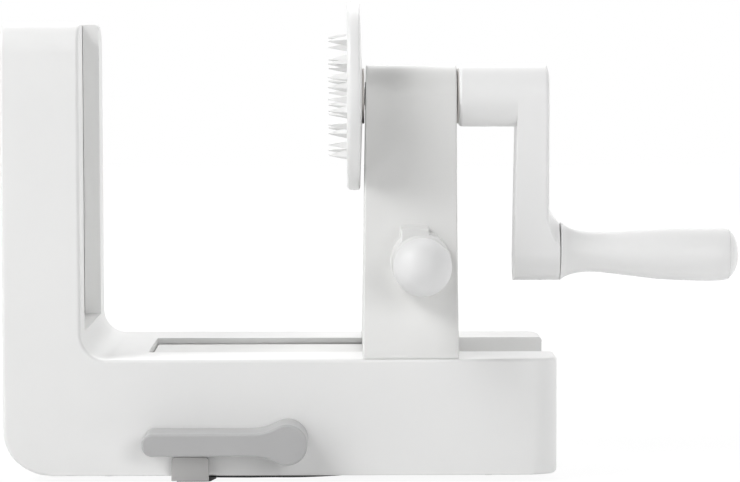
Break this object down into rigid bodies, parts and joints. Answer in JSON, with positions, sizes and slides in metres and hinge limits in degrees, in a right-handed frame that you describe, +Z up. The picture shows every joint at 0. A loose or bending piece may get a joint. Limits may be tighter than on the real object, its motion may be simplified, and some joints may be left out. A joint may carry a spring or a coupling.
{
  "type": "hand cranked vegetable spiralizer",
  "caption": "Tabletop vegetable spiralizer: L-shaped base with a lift-out blade cartridge, sliding tower, toothed food holder, crank and lever-locked suction cup.",
  "frame": {"origin": "on the worktop, under the centre of the suction cup and of the suction lever's pivot", "axes": "+X from the blade frame to the crank, +Z up, -Y the side with the knob and the suction lever"},
  "size_m": [0.3105, 0.1434, 0.1984],
  "materials": {
    "white_housing": "satin moulded white plastic",
    "white_inner": "plain white plastic",
    "grey_lever": "fine matt grey plastic",
    "dark_bush": "dark grey bearing plastic",
    "cup_rubber": "smooth black rubber",
    "foot_rubber": "dark grey rubber",
    "steel": "ground stainless steel",
    "blade_steel": "fine ground stainless steel",
    "fasteners": "zinc plated steel"
  },
  "bodies": {
    "base": {"body_shell": "white_housing", "bottom_cover": "white_inner", "cover_screws": "fasteners", "rubber_feet": "foot_rubber", "guide_rail": "white_inner", "rail_screws": "fasteners", "lever_bush": "dark_bush", "suction_cup": "cup_rubber", "release_tab": "grey_lever"},
    "blade_cartridge": {"cartridge_frame": "white_housing", "slicing_blade": "blade_steel", "shredding_comb": "blade_steel", "coring_tube": "blade_steel", "blade_rivets": "fasteners"},
    "carriage": {"tower_shell": "white_housing", "carriage_slide": "white_inner", "slide_screws": "fasteners", "front_bush": "dark_bush", "rear_bush": "dark_bush", "knob_plate": "white_housing", "knob": "white_housing", "knob_screw": "fasteners"},
    "crank": {"crank_shaft": "steel", "food_holder": "white_housing", "holder_screw": "fasteners", "shaft_collar": "dark_bush", "hub_washer": "dark_bush", "crank_arm": "white_housing", "hub_screw": "fasteners", "hub_plug": "white_housing", "grip_axle": "steel", "grip_retainer": "fasteners"},
    "handle": {"grip": "white_housing", "grip_end_cap": "white_housing"},
    "suction_lever": {"lever": "grey_lever", "cam_shaft": "steel", "lever_pin": "fasteners", "suction_cam": "white_inner"},
    "cup_puller": {"lift_yoke": "white_inner", "pressure_plate": "steel"}
  },
  "joints": [
    {"name": "cartridge_lift", "type": "slide", "parent": "base", "child": "blade_cartridge", "axis": [0, 0, 1], "range_m": [0, 0.128]},
    {"name": "carriage_slide", "type": "slide", "parent": "base", "child": "carriage", "axis": [1, 0, 0], "range_m": [-0.098, 0.02]},
    {"name": "crank_turn", "type": "hinge", "parent": "carriage", "child": "crank", "pos_m": [0.05, 0, 0.1581], "axis": [1, 0, 0], "continuous": true},
    {"name": "grip_spin", "type": "hinge", "parent": "crank", "child": "handle", "pos_m": [0.1156, 0, 0.0912], "axis": [0.9998, 0, -0.0209], "continuous": true},
    {"name": "lever_turn", "type": "hinge", "parent": "base", "child": "suction_lever", "pos_m": [0, -0.06, 0.0181], "axis": [0, 1, 0], "range_deg": [0, 180]},
    {"name": "cup_lift", "type": "slide", "parent": "base", "child": "cup_puller", "axis": [0, 0, 1], "range_m": [0, 0.003], "deforming": ["suction_cup"]}
  ],
  "couplings": [
    {"joint": "cup_lift", "follows": "lever_turn", "m_per_rad": 0.00095492}
  ]
}
